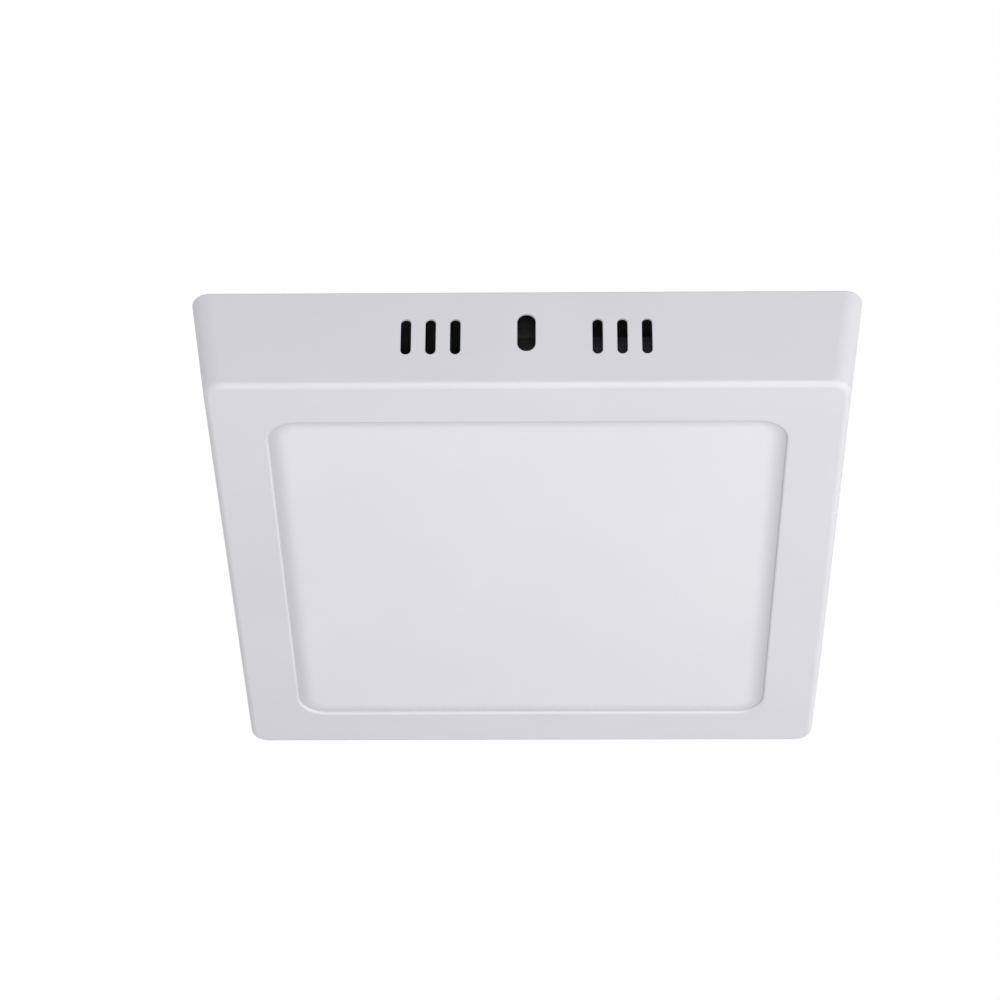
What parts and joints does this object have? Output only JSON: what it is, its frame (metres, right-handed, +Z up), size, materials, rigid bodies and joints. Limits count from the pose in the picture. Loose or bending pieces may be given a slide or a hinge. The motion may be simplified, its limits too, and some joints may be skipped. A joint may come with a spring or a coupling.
{
  "type": "led ceiling light",
  "caption": "Square surface-mounted ceiling light: tapered white housing with vent slots, recessed opal window, edge-lit panel and driver inside, latched onto a ceiling plate.",
  "frame": {"origin": "centre of the cable entry in the mounting plate, in the ceiling plane", "axes": "+Z up, out of the ceiling face; -Y towards the vented front wall seen in the picture; +X to the picture's right"},
  "size_m": [0.2248, 0.2248, 0.036],
  "materials": {
    "white_powder_coat": "satin",
    "opal_sheet": "satin",
    "clear_acrylic": "gloss",
    "white_film": "matte",
    "white_board": "satin",
    "led_package": "satin",
    "link_wire": "satin",
    "mill_aluminium": "satin",
    "zinc_steel": "satin",
    "black_steel": "satin",
    "spring_steel": "satin",
    "black_rubber": "matte",
    "driver_plastic": "satin",
    "circuit_board": "satin",
    "ferrite": "matte",
    "coil_tape": "gloss",
    "capacitor_sleeve": "gloss",
    "film_capacitor_box": "satin",
    "fuse_body": "satin",
    "package_black": "matte",
    "connector_plastic": "satin",
    "terminal_plastic": "satin",
    "clamp_brass": "satin",
    "button_orange": "satin",
    "brown_insulation": "satin",
    "blue_insulation": "satin",
    "red_insulation": "satin",
    "black_insulation": "satin"
  },
  "bodies": {
    "ceiling_plate": {"mounting_plate": "zinc_steel", "cable_grommet": "black_rubber", "latch_bracket_front": "black_steel", "latch_bracket_back": "black_steel"},
    "light": {"housing": "white_powder_coat", "diffuser": "opal_sheet", "light_guide": "clear_acrylic", "reflector_sheet": "white_film", "led_strip_front": "white_board", "led_strip_right": "white_board", "led_strip_back": "white_board", "led_strip_left": "white_board", "led_chips_front": "led_package", "led_chips_right": "led_package", "led_chips_back": "led_package", "led_chips_left": "led_package", "strip_links": "link_wire", "back_plate": "mill_aluminium", "back_plate_screws": "zinc_steel", "latch_screws": "zinc_steel", "clinch_studs": "zinc_steel", "stud_nuts": "zinc_steel", "driver_base": "driver_plastic", "driver_cover": "driver_plastic", "driver_board": "circuit_board", "transformer_core": "ferrite", "transformer_coil": "coil_tape", "filter_capacitors": "capacitor_sleeve", "safety_capacitor": "film_capacitor_box", "fuse": "fuse_body", "driver_chips": "package_black", "board_connectors": "connector_plastic", "terminal_body": "terminal_plastic", "terminal_clamps": "clamp_brass", "live_lead": "brown_insulation", "neutral_lead": "blue_insulation", "dc_lead_positive": "red_insulation", "dc_lead_negative": "black_insulation", "dc_grommet": "black_rubber"},
    "front_latch": {"latch_spring_front": "spring_steel"},
    "back_latch": {"latch_spring_back": "spring_steel"},
    "live_button": {"release_button_live": "button_orange"},
    "neutral_button": {"release_button_neutral": "button_orange"}
  },
  "joints": [
    {"name": "light_drop", "type": "slide", "parent": "ceiling_plate", "child": "light", "axis": [0, 0, -1], "range_m": [0, 0.06]},
    {"name": "front_latch_press", "type": "hinge", "parent": "light", "child": "front_latch", "pos_m": [0.044, -0.0968, -0.0292], "axis": [0, 0, -1], "range_deg": [0, 3], "stiffness_Nm_per_rad": 1.6},
    {"name": "back_latch_press", "type": "hinge", "parent": "light", "child": "back_latch", "pos_m": [-0.044, 0.0968, -0.0292], "axis": [0, 0, -1], "range_deg": [0, 3], "stiffness_Nm_per_rad": 1.6},
    {"name": "live_button_press", "type": "slide", "parent": "light", "child": "live_button", "axis": [0, 0, -1], "range_m": [0, 0.0015], "stiffness_N_per_m": 2000},
    {"name": "neutral_button_press", "type": "slide", "parent": "light", "child": "neutral_button", "axis": [0, 0, -1], "range_m": [0, 0.0015], "stiffness_N_per_m": 2000}
  ]
}
